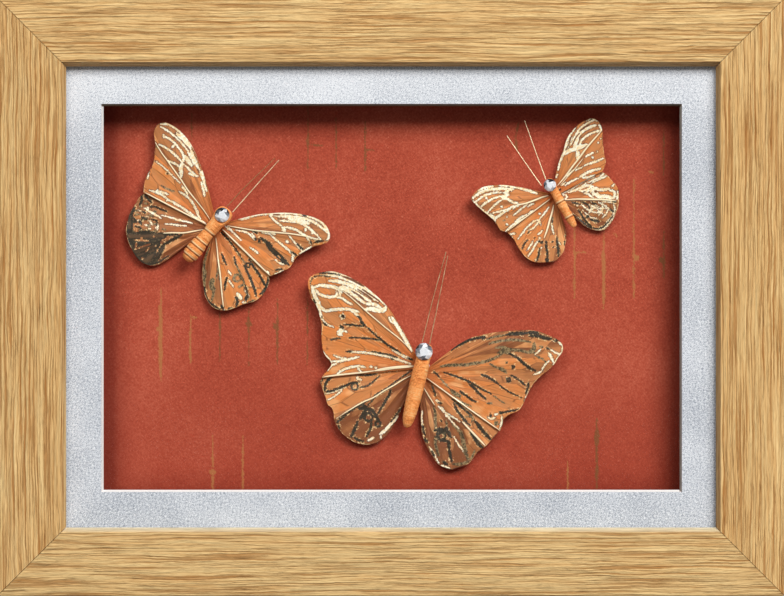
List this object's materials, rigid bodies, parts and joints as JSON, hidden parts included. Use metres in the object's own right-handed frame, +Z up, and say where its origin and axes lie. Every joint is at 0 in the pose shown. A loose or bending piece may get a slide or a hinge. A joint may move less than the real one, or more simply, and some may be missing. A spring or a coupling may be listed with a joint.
{
  "type": "framed butterfly specimen",
  "caption": "Deep glazed oak frame with a pale window mat; craft butterflies with foil-marked paper wings, stone heads and wire antennae stand on pads before a red board.",
  "frame": {"origin": "under the middle of the frame, on the bottom rail's outer face that it stands on", "axes": "+X along the frame's width, to the right as seen from the front; +Y from the glazed front to the back; +Z up"},
  "size_m": [0.358, 0.038, 0.272],
  "materials": {
    "oak": "light oak, satin oil, straight grain along each rail",
    "pane": "clear picture glass",
    "mat_card": "pale grey uncoated card with a bevelled window",
    "red_paper": "brick-red fibrous paper, matt, with distressed gold streaks",
    "hardboard": "brown hardboard, smooth face",
    "steel": "zinc-plated steel",
    "wing_paper": "tan satin paper with gold and blackened foil marks",
    "body_wrap": "orange crinkled paper wrap",
    "crystal": "foil-backed clear cut stone",
    "wire": "thin dull brassy wire",
    "foam": "white foam pad"
  },
  "bodies": {
    "root": {"back_panel": "hardboard", "fixing_tab_bottom_1": "steel", "fixing_tab_bottom_2": "steel", "fixing_tab_left": "steel", "fixing_tab_right": "steel", "fixing_tab_top_1": "steel", "fixing_tab_top_2": "steel", "glass_pane": "pane", "large_antenna_left": "wire", "large_antenna_right": "wire", "large_body": "body_wrap", "large_foam_pad": "foam", "large_forewing_left": "wing_paper", "large_forewing_right": "wing_paper", "large_gem": "crystal", "large_hindwing_left": "wing_paper", "large_hindwing_right": "wing_paper", "medium_antenna_left": "wire", "medium_antenna_right": "wire", "medium_body": "body_wrap", "medium_foam_pad": "foam", "medium_forewing_left": "wing_paper", "medium_forewing_right": "wing_paper", "medium_gem": "crystal", "medium_hindwing_left": "wing_paper", "medium_hindwing_right": "wing_paper", "rail_bottom": "oak", "rail_left": "oak", "rail_right": "oak", "rail_top": "oak", "red_board": "red_paper", "sawtooth_hanger": "steel", "small_antenna_left": "wire", "small_antenna_right": "wire", "small_body": "body_wrap", "small_foam_pad": "foam", "small_forewing_left": "wing_paper", "small_forewing_right": "wing_paper", "small_gem": "crystal", "small_hindwing_left": "wing_paper", "small_hindwing_right": "wing_paper", "spacer_bottom": "red_paper", "spacer_left": "red_paper", "spacer_right": "red_paper", "spacer_top": "red_paper", "window_mat": "mat_card"}
  },
  "joints": []
}
